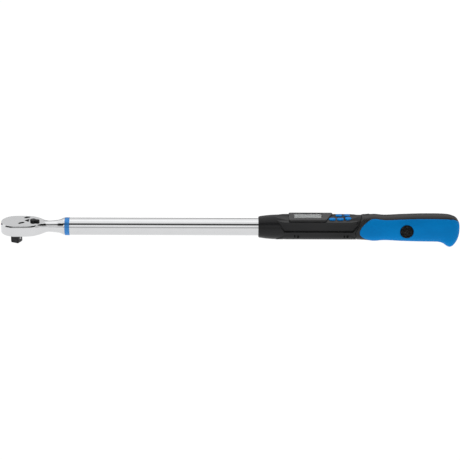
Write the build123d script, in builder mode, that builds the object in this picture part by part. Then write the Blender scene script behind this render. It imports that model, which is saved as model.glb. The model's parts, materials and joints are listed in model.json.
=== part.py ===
from build123d import *
import os
from math import cos, radians, sin, sqrt

# An electronic torque wrench with a half inch square drive.
# +X runs from the ratchet head to the grip, +Z is up, on the display's side, in millimetres.
# The origin is on the drive's axis, at the plane that a socket seats against, so the square
# points down from it. The tube's axis runs along X at axis_height, and every other height
# below is measured from that axis.

os.makedirs("parts", exist_ok=True)

axis_height = 8.2
running_gap = 0.05  # radial clearance of a shaft in its bore
free_gap = 0.3  # clearance between pieces that move against each other

# Ratchet head and neck
head_radius = 21.6
head_top = 7.6
head_bottom = -axis_height
head_bevel = 1.1  # inwards from the rim
head_bevel_drop = 1.8
head_bottom_round = 2.2
shoulder_places = [(12.0, 21.4), (25.0, 19.3), (33.5, 13.9), (40.0, 9.4)]
neck_half = 7.6
neck_radius = 7.95
neck_start = 40.0
neck_end = 50.0
core_start = 30.0
core_radius = 5.0
turning_start = 14.0
turning_radius = 29.2
flare_places = [(47.0, 7.95), (55.0, 8.6), (63.3, 10.1)]  # distance from the drive, radius
rim_start = 67.7
rim_radius = 12.2
rim_end = 69.5

# Square drive and its gear
square_side = 12.7
square_length = 15.6
square_round = 2.0
square_end_round = 1.8
square_turn = -25
journal_radius = 9.4
gear_teeth = 36
gear_radius = 14.0
tooth_depth = 1.1
tooth_slope = 1.05  # half width of a tooth gap for each unit of its depth
gear_bottom = -6.1
gear_top = 3.9
pivot_radius = 6.0
ball_radius = 2.0
ball_proud = 0.8
ball_depth = 8.6  # below the seat plane
ball_travel = 0.8
ball_bore_depth = 7.1  # behind the ball's centre

# Mechanism in the head
cavity_radius = 14.4
cavity_top = 4.2
cover_thickness = 2.0
cover_radius = 19.1
cover_end = 31.8
lever_x = 24.5
spindle_radius = 3.0
spindle_foot_radius = 2.0
lever_hub = 4.4
lever_tab = 6.8
lever_tab_half = 2.5
lever_rest = -12
lever_travel = 24
lever_top = 10.4
pawl_travel = 8
pawl_half = 9.7
pawl_front = 11.0
pawl_bottom = -5.9
pawl_top = 3.2
pocket_half = 12.1
pocket_end = 30.2
cover_screw_places = [(-11.9, 11.9), (-11.9, -11.9), (21.0, 14.3), (21.0, -14.3)]
cover_screw_radius = 1.0
cover_screw_head = 1.9

mark_depth = 0.3
direction_marks = [
    [(12.0, 2.8), (18.2, 9.8), (18.2, -2.6)],
    [(9.8, 13.6), (12.2, 12.2), (18.4, 15.4), (17.8, 17.8), (14.6, 18.0)],
    [(4.0, -8.2), (6.2, -9.4), (12.4, -5.2), (12.2, -2.6), (9.2, -3.0)],
]

# Shank, ring and tube
shank_radius = 10.3
ring_radius = 12.75
ring_end = 76.2
tube_radius = 12.35
tube_end = 372.0
land_end = 90.0
gauge_end = 125.0
gauge_radius = 8.0
gauge_flat = 6.0
shank_end = 145.0
pin_radius = 2.5
pin_top = 6.0
head_pin_x = 138.0
core_pin_x = 352.0
lead_radius = 0.9
lead_height = 9.3
lead_start = 104.0
lead_end = 390.0

# Bar from the tube to the grip
plug_start = 325.0
bar_half = 9.0
bar_bottom = -2.0
bar_top = 5.0
bar_end = 600.0
tang_start = 488.0
tang_bottom = -4.0

# Housing
collar_start = 343.5
collar_radius = 17.6
housing_half = 17.0
housing_bottom = -15.1
housing_corner = 9.0
housing_wall = 2.0
deck_edge = 13.2
deck_crown = 14.6
deck_under = 12.2
boat_front = 366.0
boat_rear = 490.5
collar_rear = 470.0
rear_line = [(484.0, -30.0), (480.3, -2.0), (489.8, 19.0)]  # where the housing meets the grip
scoop_half = 14.0
scoop_top = 9.8
parting = -1.7
cavity_front = 376.0
cavity_rear = 478.8
post_places = [(379.5, 11.5), (379.5, -11.5), (475.9, 11.5), (475.9, -11.5)]
post_radius = 2.3
housing_screw_radius = 1.1
seal_end = 346.5
seal_radius = 13.6
snap_slots = [(395.0, 1.7), (399.6, 3.2), (465.0, 1.8), (469.4, 2.8)]  # place and width
snap_slot_height = 4.4
snap_slot_level = -7.9

# Display and keys
bezel_seat = 13.0
bezel_top = 16.5
bezel_front = 386.6
bezel_rear_near = 439.0  # the end is slanted, to clear the keys
bezel_rear_far = 450.0
bezel_half = 14.5
bezel_corner = 2.4
window_x = 413.6
window_y = 2.4
window_long = 38.0
window_wide = 15.4
lens_margin = 1.1
lens_bottom = 15.2
lens_top = 16.2
panel_bottom = 12.6
panel_top = 14.6
panel_long = 41.0
panel_wide = 18.0
key_places = {
    "unit_key": (447.8, -7.2),
    "down_key": (459.2, -7.2),
    "power_key": (470.3, -5.4),
    "up_key": (457.9, 6.6),
    "set_key": (469.1, 7.0),
}
key_long = 9.6
key_wide = 6.6
key_corner = 3.0
key_top = 15.9
key_stem_bottom = 9.7
key_flange = 0.6  # how far the flange stands out on each side
power_key_long = 9.2
power_key_wide = 9.0
power_key_corner = 4.4
power_key_top = 16.3

# Circuit board
board_bottom = 6.8
board_top = 8.4
board_front = 384.0
board_rear = 473.0
board_half = 11.3
board_boss_places = [(387.5, 9.0), (387.5, -9.0), (438.5, 9.0), (438.5, -9.0)]

# Batteries
cell_radius = 5.2
cell_y = 5.35
cell_level = -7.3
cell_front = 412.0
cell_length = 43.5
door_front = 389.0
door_rear = 477.0
door_half = 11.0

# Grip, from front to back: distance from the drive, top, bottom, half width
grip_stations = [
    (475.0, 17.0, -16.6, 17.0),
    (496.0, 17.4, -17.4, 17.4),
    (507.5, 18.5, -18.6, 17.7),
    (522.0, 17.2, -17.4, 17.0),
    (545.0, 18.2, -18.6, 17.3),
    (570.0, 18.8, -19.3, 17.5),
    (598.0, 19.1, -19.5, 17.5),
    (609.0, 18.8, -19.6, 17.2),
    (616.5, 18.0, -19.0, 16.2),
    (621.5, 16.2, -18.0, 14.4),
    (625.4, 12.6, -15.6, 11.6),
    (628.3, 5.6, -7.6, 6.6),
]
grip_roundness = 0.86  # corner radius for each unit of half width
cover_skin = 2.5
spine_half = 10.4
front_band = 6.5
beak_half = 12.0
cap_x = 553.0
cap_level = -0.3
cap_radius = 9.5
cap_face = 17.9
cap_seat = 14.9
bolt_radius = 2.5
bolt_head_radius = 4.3
bolt_seat = 11.2

tube_axis = Axis((0, 0, axis_height), (1, 0, 0))


def level(height):
    """Horizontal plane at a height above the tube's axis."""
    return Plane.XY.offset(axis_height + height)


def cross(x):
    """Plane across the wrench, with Y to its right and the height above the axis upwards."""
    return Plane(origin=(x, 0, axis_height), x_dir=(0, 1, 0), z_dir=(1, 0, 0))


def side(y=0):
    """Lengthwise plane, with X to its right; a positive extrusion goes towards -Y."""
    return Plane(origin=(0, y, axis_height), x_dir=(1, 0, 0), z_dir=(0, -1, 0))


def save(builder, name):
    """Labels a finished piece and writes it."""
    builder.part.label = name
    export_step(builder.part, f"parts/{name}.step")


# Ratchet head


def head_outline():
    """Plan of the head: a round end, two shoulders and the start of the neck."""
    with BuildSketch() as outline:
        with BuildLine():
            CenterArc((0, 0), head_radius, 90, 90)
            Spline(
                (0, head_radius),
                *shoulder_places,
                (neck_end, neck_half),
                tangents=[(1, 0), (1, 0)],
            )
            Line((neck_end, neck_half), (neck_end, 0))
            mirror(about=Plane.XZ)
        make_face()
    return outline.sketch


def cover_outline():
    """Plan of the cover plate under the head."""
    with BuildSketch() as outline:
        with BuildLine():
            CenterArc((0, 0), cover_radius, 90, 90)
            FilletPolyline(
                (0, cover_radius),
                (26.0, cover_radius - 1.3),
                (cover_end, 11.5),
                (cover_end, 0),
                radius=[6, 3],
            )
            mirror(about=Plane.XZ)
        make_face()
    return outline.sketch


def neck_profile():
    """Half section of the neck, its flare, the ring's seat and the shank inside the tube."""
    with BuildSketch() as profile:
        with BuildLine():
            Spline(
                (neck_start, neck_radius),
                *flare_places,
                (rim_start, rim_radius),
                tangents=[(1, 0), (2, 1)],
            )
            Polyline(
                (rim_start, rim_radius),
                (rim_end, rim_radius),
                (rim_end, shank_radius),
                (land_end, shank_radius),
                (land_end, gauge_radius),
                (gauge_end, gauge_radius),
                (gauge_end, shank_radius),
                (shank_end, shank_radius),
                (shank_end, 0),
                (core_start, 0),
                (core_start, core_radius),
                (neck_start, neck_radius),
            )
        make_face()
    return profile.sketch


def make_ratchet_head():
    """Forged head, neck and shank in one piece, with the gear's cavity open to below."""
    recess_top = head_bottom + cover_thickness
    with BuildPart() as head:
        with BuildSketch(level(head_bottom)):
            add(head_outline())
        extrude(amount=head_top - head_bottom)
        top = head.faces().sort_by(Axis.Z)[-1]
        upper = top.edges().filter_by(lambda edge: edge.center().X < neck_end - 1)
        chamfer(upper, head_bevel, head_bevel_drop, reference=top)
        lower = head.faces().sort_by(Axis.Z)[0].edges()
        fillet(lower.filter_by(lambda edge: edge.center().X < neck_end - 1), head_bottom_round)
        # the forging is turned down towards the neck
        with BuildSketch(side()):
            with BuildLine():
                FilletPolyline(
                    (turning_start, turning_radius),
                    (neck_start + 2, neck_radius),
                    (neck_end, neck_radius),
                    radius=14,
                )
                Polyline(
                    (neck_end, neck_radius),
                    (neck_end, 0),
                    (-turning_radius, 0),
                    (-turning_radius, turning_radius),
                    (turning_start, turning_radius),
                )
            make_face()
        revolve(axis=tube_axis, mode=Mode.INTERSECT)
        with BuildSketch(side()):
            add(neck_profile())
        revolve(axis=tube_axis)
        # flats for the strain gauges
        with BuildSketch(level(-gauge_radius)):
            with Locations(((land_end + gauge_end) / 2, 0)):
                Rectangle(gauge_end - land_end, 3 * gauge_radius)
                Rectangle(gauge_end - land_end, 2 * gauge_flat, mode=Mode.SUBTRACT)
        extrude(amount=2 * gauge_radius, mode=Mode.SUBTRACT)
        # cover recess, gear cavity with the pawl's pocket, and the gear's upper bearing
        with BuildSketch(level(head_bottom)):
            add(cover_outline())
        extrude(amount=cover_thickness, mode=Mode.SUBTRACT)
        with BuildSketch(level(recess_top)):
            Circle(cavity_radius)
            with Locations((pocket_end / 2, 0)):
                RectangleRounded(pocket_end, 2 * pocket_half, 2.5)
        extrude(amount=cavity_top - recess_top, mode=Mode.SUBTRACT)
        with BuildSketch(level(cavity_top)):
            Circle(pivot_radius + running_gap)
        extrude(amount=1.6, mode=Mode.SUBTRACT)
        # lever's bore and the seat of its seal
        with BuildSketch(level(cavity_top)):
            with Locations((lever_x, 0)):
                Circle(spindle_radius + running_gap)
        extrude(amount=head_top - cavity_top, mode=Mode.SUBTRACT)
        with BuildSketch(level(head_top - 1.0)):
            with Locations((lever_x, 0)):
                Circle(4.2)
        extrude(amount=1.0, mode=Mode.SUBTRACT)
        # tapped holes for the cover's screws
        with BuildSketch(level(recess_top)):
            with Locations(cover_screw_places):
                Circle(cover_screw_radius)
        extrude(amount=5.0, mode=Mode.SUBTRACT)
        # pin hole from below and groove for the lead on top of the shank
        with BuildSketch(level(-shank_radius - 1)):
            with Locations((head_pin_x, 0)):
                Circle(pin_radius)
        extrude(amount=shank_radius + 1 + pin_top, mode=Mode.SUBTRACT)
        with BuildSketch(level(lead_height - lead_radius - 0.1)):
            with Locations(((gauge_end + shank_end) / 2, 0)):
                Rectangle(shank_end - gauge_end, 2 * lead_radius + 0.4)
        extrude(amount=3, mode=Mode.SUBTRACT)
        # engraved pointer and two strokes on top
        with BuildSketch(level(head_top - mark_depth)):
            for outline in direction_marks:
                Polygon(*outline, align=None)
        extrude(amount=1, mode=Mode.SUBTRACT)
    save(head, "ratchet_head")


def make_head_cover():
    """Plate that closes the head from below and carries the drive's journal."""
    with BuildPart() as cover:
        with BuildSketch(level(head_bottom)):
            add(cover_outline())
            Circle(journal_radius + running_gap, mode=Mode.SUBTRACT)
            with Locations((lever_x, 0)):
                Circle(spindle_foot_radius + running_gap, mode=Mode.SUBTRACT)
        extrude(amount=cover_thickness)
        with Locations(level(head_bottom)):
            with Locations([Pos(x, y) * Rot(180, 0, 0) for x, y in cover_screw_places]):
                CounterSinkHole(cover_screw_radius, cover_screw_head)
    save(cover, "head_cover")


def make_cover_screws():
    """Four countersunk screws, flush with the cover."""
    with BuildPart() as screws:
        for x, y in cover_screw_places:
            with BuildSketch(Plane(origin=(x, y, 0), x_dir=(1, 0, 0), z_dir=(0, -1, 0))):
                with BuildLine():
                    Polyline(
                        (0, 0),
                        (cover_screw_head, 0),
                        (cover_screw_radius, cover_screw_head - cover_screw_radius),
                        (cover_screw_radius, 5.8),
                        (0, 5.8),
                        (0, 0),
                    )
                make_face()
            revolve(axis=Axis((x, y, 0), (0, 0, 1)))
        with BuildSketch(Plane.XY):
            with Locations(cover_screw_places):
                RegularPolygon(0.75, 6)
        extrude(amount=0.9, mode=Mode.SUBTRACT)
    save(screws, "cover_screws")


# Drive, ball and pawl


def gear_profile(clearance):
    """Plan of the gear; a clearance makes the cutter that shapes the pawl's teeth."""
    reach = tooth_depth + 0.3
    with BuildSketch() as profile:
        Circle(gear_radius + clearance)
        with PolarLocations(gear_radius - tooth_depth + sqrt(2) * clearance, gear_teeth):
            Polygon(
                (0, 0),
                (reach, reach * tooth_slope),
                (reach, -reach * tooth_slope),
                align=None,
                mode=Mode.SUBTRACT,
            )
    return profile.sketch


def ball_plane():
    """Plane through the ball's centre, facing out of the square's right side."""
    facing = (cos(radians(square_turn)), sin(radians(square_turn)), 0)
    out = square_side / 2 - ball_radius + ball_proud
    return Plane(origin=(out * facing[0], out * facing[1], -ball_depth), z_dir=facing)


def make_drive_gear():
    """Toothed disc with the male square below it and a short pivot above it."""
    with BuildPart() as drive:
        with BuildSketch(Plane.XY.offset(-square_length)):
            Rectangle(square_side, square_side, rotation=square_turn)
            fillet(vertices(), square_round)
        extrude(amount=square_length)
        fillet(drive.faces().sort_by(Axis.Z)[0].edges(), square_end_round)
        with BuildSketch(Plane.XY):
            Circle(journal_radius)
        extrude(amount=axis_height + gear_bottom)
        with BuildSketch(level(gear_bottom)):
            add(gear_profile(0))
        extrude(amount=gear_top - gear_bottom)
        with BuildSketch(level(gear_top)):
            Circle(pivot_radius)
        extrude(amount=1.7)
        # groove for the seal, and the ball's bore
        with BuildSketch(Plane.XY.offset(0.4)):
            Circle(journal_radius)
            Circle(journal_radius - 1.2, mode=Mode.SUBTRACT)
        extrude(amount=1.2, mode=Mode.SUBTRACT)
        with BuildSketch(ball_plane().offset(-ball_bore_depth)):
            Circle(ball_radius + running_gap)
        extrude(amount=ball_bore_depth + ball_radius, mode=Mode.SUBTRACT)
    save(drive, "drive_gear")


def make_socket_ball():
    """Ball that snaps into the recess of a socket."""
    with BuildPart() as ball:
        with Locations(ball_plane()):
            Sphere(ball_radius)
    save(ball, "socket_ball")


def coil_spring(plane, radius, wire, length, turns):
    """Round wire spring that stands on a plane."""
    with BuildPart() as spring:
        with BuildLine() as coil:
            Helix(length / turns, length, radius, plane.origin, plane.z_dir)
        with BuildSketch(Plane(origin=coil.line @ 0, z_dir=coil.line % 0)):
            Circle(wire)
        sweep(path=coil.line, is_frenet=True)
    return spring


def make_ball_spring():
    """Spring in the drive's bore; it leaves the ball room to move in."""
    length = ball_bore_depth - ball_radius - ball_travel - 0.5
    spring = coil_spring(ball_plane().offset(0.25 - ball_bore_depth), 1.4, 0.22, length, 5)
    save(spring, "ball_spring")


def make_pawl():
    """Rocking pawl on the lever's spindle: one arm is in mesh, the other takes its place."""
    cutter = gear_profile(0.12)
    turn = [pawl_travel * step / 4 for step in range(5)]
    seen = [Pos(lever_x, 0) * Rot(0, 0, -angle) * Pos(-lever_x, 0) * cutter for angle in turn]
    with BuildPart() as pawl:
        with BuildSketch(level(pawl_bottom)):
            Polygon(
                (26.0, 4.4),
                (18.5, pawl_half),
                (pawl_front, pawl_half),
                (pawl_front, -pawl_half),
                (18.5, -pawl_half),
                (26.0, -4.4),
                align=None,
            )
            with Locations((lever_x, 0)):
                Circle(5.0)
                Circle(spindle_radius + 0.06, mode=Mode.SUBTRACT)
            add(seen, mode=Mode.SUBTRACT)
        extrude(amount=pawl_top - pawl_bottom)
        # groove that the plunger's tip rides in
        with BuildSketch(level(-2.6)):
            with Locations((lever_x, 0)):
                Circle(3.95)
        extrude(amount=2.6, mode=Mode.SUBTRACT)
    save(pawl, "pawl")


# Reversing lever


def make_reverse_lever():
    """Thumb lever with its spindle down to the cover."""
    with BuildPart() as lever:
        with BuildSketch(level(head_top + 0.1)):
            with Locations((lever_x, 0)):
                Circle(lever_hub)
                with PolarLocations(lever_tab, 1, lever_rest):
                    Circle(lever_tab_half)
                with PolarLocations(lever_tab / 2, 1, lever_rest):
                    Rectangle(lever_tab, 2 * lever_tab_half)
        extrude(amount=lever_top - head_top - 0.1)
        fillet(lever.faces().sort_by(Axis.Z)[-1].edges(), 0.9)
        with BuildSketch(level(pawl_bottom)):
            with Locations((lever_x, 0)):
                Circle(spindle_radius)
        extrude(amount=lever_top - pawl_bottom - 2)
        with BuildSketch(level(head_bottom)):
            with Locations((lever_x, 0)):
                Circle(spindle_foot_radius)
        extrude(amount=pawl_bottom - head_bottom)
        # groove for the clip and cross bore for the plunger
        with BuildSketch(level(3.4)):
            with Locations((lever_x, 0)):
                Circle(spindle_radius)
                Circle(spindle_radius - 0.7, mode=Mode.SUBTRACT)
        extrude(amount=0.6, mode=Mode.SUBTRACT)
        with BuildSketch(plunger_plane(-1.8)):
            Circle(1.05)
        extrude(amount=spindle_radius + 1.8, mode=Mode.SUBTRACT)
    save(lever, "reverse_lever")


def plunger_plane(reach):
    """Plane across the plunger's axis, at a distance from the spindle's own axis."""
    turn = radians(lever_rest)
    origin = (lever_x + reach * cos(turn), reach * sin(turn), axis_height - 1.3)
    return Plane(origin=origin, z_dir=(cos(turn), sin(turn), 0))


def make_selector_plunger():
    """Pin that presses outwards from the spindle into the pawl."""
    with BuildPart() as plunger:
        with BuildSketch(plunger_plane(1.4)):
            Circle(1.0)
        extrude(amount=2.2)
        fillet(plunger.edges().sort_by(lambda edge: edge.center().X)[-1], 0.5)
    save(plunger, "selector_plunger")


def make_selector_spring():
    """Spring behind the plunger, in the spindle's cross bore."""
    save(coil_spring(plunger_plane(-1.5), 0.65, 0.16, 2.7, 4), "selector_spring")


def make_ring(name, bottom, height, place, outer, inner):
    """Flat ring, such as a seal."""
    with BuildPart() as ring:
        with BuildSketch(bottom):
            with Locations(place):
                Circle(outer)
                Circle(inner, mode=Mode.SUBTRACT)
        extrude(amount=height)
    save(ring, name)


def make_lever_clip():
    """Open clip in the spindle's groove, under the head's top wall."""
    with BuildPart() as clip:
        with BuildSketch(level(3.45)):
            with Locations((lever_x, 0)):
                Circle(spindle_radius + 1.4)
                Circle(spindle_radius - 0.65, mode=Mode.SUBTRACT)
            with Locations((lever_x + 4, 0)):
                Rectangle(4, 3, mode=Mode.SUBTRACT)
        extrude(amount=0.5)
    save(clip, "lever_clip")


def make_head_seals():
    """Rubber rings round the drive's journal and under the lever's hub."""
    ring_inner = journal_radius - 1.2
    make_ring("gear_seal", Plane.XY.offset(0.45), 1.1, (0, 0), journal_radius, ring_inner)
    seat = level(head_top - 1.0)
    make_ring("lever_seal", seat, 0.9, (lever_x, 0), 4.2, spindle_radius + running_gap)


# Ring, tube and pins


def make_accent_ring():
    """Coloured ring between the neck's flare and the tube."""
    with BuildPart() as ring:
        with BuildSketch(cross(rim_end)):
            Circle(ring_radius)
            Circle(shank_radius, mode=Mode.SUBTRACT)
        extrude(amount=ring_end - rim_end)
        rims = ring.edges().filter_by(GeomType.CIRCLE)
        fillet(rims.filter_by(lambda edge: edge.radius > ring_radius - 0.1), 0.6)
    save(ring, "accent_ring")


def make_tube():
    """Long tube over the head's shank and the plug of the handle's bar."""
    with BuildPart() as tube:
        with BuildSketch(cross(ring_end)):
            Circle(tube_radius)
            Circle(shank_radius, mode=Mode.SUBTRACT)
        extrude(amount=tube_end - ring_end)
        with BuildSketch(level(-tube_radius - 1)):
            with Locations((head_pin_x, 0), (core_pin_x, 0)):
                Circle(pin_radius)
        extrude(amount=tube_radius + 1, mode=Mode.SUBTRACT)
    save(tube, "tube")


def make_cross_pin(name, x):
    """Roll pin that is pressed in from below and ends flush with the tube."""
    with BuildPart() as pin:
        with BuildSketch(level(-tube_radius)):
            with Locations((x, 0)):
                Circle(pin_radius)
                Circle(pin_radius - 0.9, mode=Mode.SUBTRACT)
        extrude(amount=tube_radius + pin_top)
        with BuildSketch(cross(x - 2 * pin_radius)):
            Circle(tube_radius)
        extrude(amount=4 * pin_radius, mode=Mode.INTERSECT)
    save(pin, name)


def make_strain_gauges():
    """Two foil gauges on each flat of the shank, and their terminal strip on top."""
    foil = 0.3
    with BuildPart() as gauges:
        for x in (100.5, 114.5):
            for y in (gauge_flat + foil / 2, -gauge_flat - foil / 2):
                with BuildSketch(level(-3)):
                    with Locations((x, y)):
                        Rectangle(9, foil)
                extrude(amount=6)
        with BuildSketch(level(gauge_radius)):
            with Locations((lead_start - 3, 0)):
                Rectangle(9, 3)
        extrude(amount=lead_height - lead_radius - gauge_radius)
    save(gauges, "strain_gauges")


def make_gauge_cable():
    """Round lead from the gauges' terminals through the tube to the board's connector."""
    with BuildPart() as cable:
        with BuildSketch(cross(lead_start)):
            with Locations((0, lead_height)):
                Circle(lead_radius)
        extrude(amount=lead_end - lead_start)
    save(cable, "gauge_cable")


def make_handle_core():
    """Plug in the tube's end with the flat bar that runs through the housing into the grip."""
    with BuildPart() as core:
        with BuildSketch(cross(plug_start)):
            Circle(shank_radius)
        extrude(amount=tube_end - plug_start)
        chamfer(core.faces().sort_by(Axis.X)[0].edges(), 0.8)
        with BuildSketch(level(bar_bottom)):
            with Locations(((tube_end - 5 + bar_end) / 2, 0)):
                Rectangle(bar_end - tube_end + 5, 2 * bar_half)
        extrude(amount=bar_top - bar_bottom)
        with BuildSketch(level(tang_bottom)):
            with Locations(((tang_start + bar_end) / 2, 0)):
                Rectangle(bar_end - tang_start, 2 * bar_half)
        extrude(amount=bar_bottom - tang_bottom)
        with BuildSketch(level(lead_height - lead_radius - 0.1)):
            with Locations(((plug_start + tube_end) / 2, 0)):
                Rectangle(tube_end - plug_start, 2 * lead_radius + 0.4)
        extrude(amount=3, mode=Mode.SUBTRACT)
        with BuildSketch(level(-shank_radius - 1)):
            with Locations((core_pin_x, 0)):
                Circle(pin_radius)
        extrude(amount=shank_radius + 1 + pin_top, mode=Mode.SUBTRACT)
        with BuildSketch(side(bar_half)):
            with Locations((cap_x, cap_level)):
                Circle(bolt_radius)
        extrude(amount=2 * bar_half, mode=Mode.SUBTRACT)
    save(core, "handle_core")


# Housing


def housing_section(inset=0):
    """Cross section of the housing, with a crowned deck and a rounded bottom."""
    half = housing_half - inset
    bottom = housing_bottom + inset
    corner = housing_corner - inset
    with BuildSketch() as section:
        with BuildLine():
            ThreePointArc(
                (half, deck_edge - inset), (0, deck_crown - inset), (-half, deck_edge - inset)
            )
            FilletPolyline(
                (-half, deck_edge - inset),
                (-half, bottom),
                (half, bottom),
                (half, deck_edge - inset),
                radius=corner,
            )
        make_face()
    return section.sketch


def boat_outline():
    """Plan of the deck: straight sides that run together to a narrow point at both ends."""
    with BuildSketch() as boat:
        with BuildLine():
            ThreePointArc((boat_front, 6), (373, 13.6), (386, housing_half))
            Line((386, housing_half), (470, housing_half))
            ThreePointArc((470, housing_half), (482.5, 13.6), (boat_rear, 6))
            Line((boat_rear, 6), (boat_rear, 0))
            Line((boat_front, 6), (boat_front, 0))
            mirror(about=Plane.XZ)
        make_face()
    return boat.sketch


def ramp(x, height, fall):
    """Sketch plane whose normal runs along the wrench and falls by an angle."""
    drop = radians(fall)
    return Plane(
        origin=(x, 0, axis_height + height),
        x_dir=(0, 1, 0),
        z_dir=(cos(drop), 0, -sin(drop)),
    )


def crown_above():
    """Region above the deck's crowned arc."""
    sag = deck_crown - deck_edge
    with BuildSketch() as above:
        with BuildLine():
            ThreePointArc((-housing_half, -sag), (0, 0), (housing_half, -sag))
            Polyline(
                (housing_half, -sag),
                (22, -sag),
                (22, 12),
                (-22, 12),
                (-22, -sag),
                (-housing_half, -sag),
            )
        make_face()
    return above.sketch


def housing_outside():
    """Outside of both halves: a round collar at each end and the deck's body between them."""
    with BuildPart() as body:
        with BuildSketch(cross(boat_front)):
            add(housing_section())
        extrude(amount=boat_rear - boat_front)
        with BuildSketch(level(-20)):
            add(boat_outline())
        extrude(amount=40, mode=Mode.INTERSECT)
    with BuildPart() as collars:
        with BuildSketch(side()):
            with BuildLine():
                Line((collar_start, 0), (collar_start, 13.8))
                ThreePointArc((collar_start, 13.8), (344.0, 14.7), (345.0, 15.2))
                ThreePointArc((345.0, 15.2), (356, 16.7), (371, collar_radius))
                Polyline((371, collar_radius), (388, collar_radius), (388, 0), (collar_start, 0))
            make_face()
            with Locations(((collar_rear + boat_rear) / 2, collar_radius / 2)):
                Rectangle(boat_rear - collar_rear + 10, collar_radius)
        revolve(axis=tube_axis)
        # the round ends are flat below and run out into the deck above
        with BuildSketch(cross(collar_start)):
            with BuildLine():
                FilletPolyline(
                    (-19, 20), (-19, housing_bottom), (19, housing_bottom), (19, 20), radius=11
                )
                Line((-19, 20), (19, 20))
            make_face()
        extrude(amount=180, mode=Mode.INTERSECT)
        with BuildSketch(ramp(358, 18.3, 7.5)):
            add(crown_above())
        extrude(amount=70, mode=Mode.SUBTRACT)
        with BuildSketch(ramp(466, 14.4, -9)):
            add(crown_above())
        extrude(amount=40, mode=Mode.SUBTRACT)
    with BuildPart() as outside:
        add(collars.part)
        add(body.part)
        # long scoop on each side, under the deck's rim
        for plane in (side(-scoop_half), side(40)):
            with BuildSketch(plane):
                with BuildLine():
                    FilletPolyline(
                        (373, scoop_top),
                        (486.5, scoop_top),
                        (477, parting),
                        (380, parting),
                        close=True,
                        radius=1.5,
                    )
                make_face()
            extrude(amount=40 - scoop_half, mode=Mode.SUBTRACT)
        # the rear end leans back over the grip
        with BuildSketch(side(30)):
            Polygon(*rear_line, (rear_line[-1][0], 40), (540, 40), (540, -30), align=None)
        extrude(amount=60, mode=Mode.SUBTRACT)
    return outside.part


def housing_hollow():
    """Bore for the tube and its seal, and the slot for the bar behind the cavity."""
    with BuildPart() as hollow:
        with BuildSketch(cross(collar_start - 5)):
            Circle(tube_radius)
        extrude(amount=cavity_front - collar_start + 5.5)
        with BuildSketch(cross(collar_start - 5)):
            Circle(seal_radius)
        extrude(amount=seal_end - collar_start + 5)
        with BuildSketch(level(bar_bottom)):
            with Locations(((cavity_rear + boat_rear) / 2, 0)):
                Rectangle(boat_rear - cavity_rear + 20, 2 * bar_half)
        extrude(amount=bar_top - bar_bottom)
    return hollow.part


def make_collar_seal():
    """Soft lip round the tube at the housing's front."""
    with BuildPart() as seal:
        with BuildSketch(cross(collar_start)):
            Circle(seal_radius)
            Circle(tube_radius, mode=Mode.SUBTRACT)
        extrude(amount=seal_end - collar_start)
    save(seal, "collar_seal")


def bezel_outline():
    """Plan of the bezel, whose end beside the keys is slanted."""
    with BuildSketch() as outline:
        with BuildLine():
            FilletPolyline(
                (bezel_front, -bezel_half),
                (bezel_rear_near, -bezel_half),
                (bezel_rear_far, bezel_half),
                (bezel_front, bezel_half),
                close=True,
                radius=bezel_corner,
            )
        make_face()
    return outline.sketch


def make_upper_housing(outside, hollow):
    """Upper half with the deck, its openings, and the posts inside."""
    with BuildPart() as upper:
        add(outside)
        add(hollow, mode=Mode.SUBTRACT)
        with BuildSketch(level(parting - 40)):
            with Locations((430, 0)):
                Rectangle(200, 60)
        extrude(amount=40, mode=Mode.SUBTRACT)
        # cavity with posts for the housing screws and bosses for the board
        with BuildSketch(level(parting)):
            with Locations(((cavity_front + cavity_rear) / 2, 0)):
                RectangleRounded(cavity_rear - cavity_front, 2 * (scoop_half - housing_wall), 2)
            with Locations(post_places):
                Circle(post_radius, mode=Mode.SUBTRACT)
        extrude(amount=deck_under - parting, mode=Mode.SUBTRACT)
        with BuildSketch(level(board_top)):
            with Locations(board_boss_places):
                Circle(1.9)
        extrude(amount=deck_under - board_top)
        with BuildSketch(level(parting)):
            with Locations(post_places):
                Circle(housing_screw_radius)
        extrude(amount=8, mode=Mode.SUBTRACT)
        with BuildSketch(level(board_top)):
            with Locations(board_boss_places):
                Circle(0.9)
        extrude(amount=3, mode=Mode.SUBTRACT)
        # seat of the bezel, opening for the display's panel, and the keys' openings
        with BuildSketch(level(bezel_seat)):
            add(bezel_outline())
        extrude(amount=5, mode=Mode.SUBTRACT)
        with BuildSketch(level(deck_under)):
            with Locations((window_x, window_y)):
                Rectangle(panel_long, panel_wide)
            for name, place in key_places.items():
                long, wide, corner = key_size(name)[:3]
                with Locations(place):
                    RectangleRounded(long + 2 * free_gap, wide + 2 * free_gap, corner + free_gap)
        extrude(amount=8, mode=Mode.SUBTRACT)
    save(upper, "upper_housing")


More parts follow.
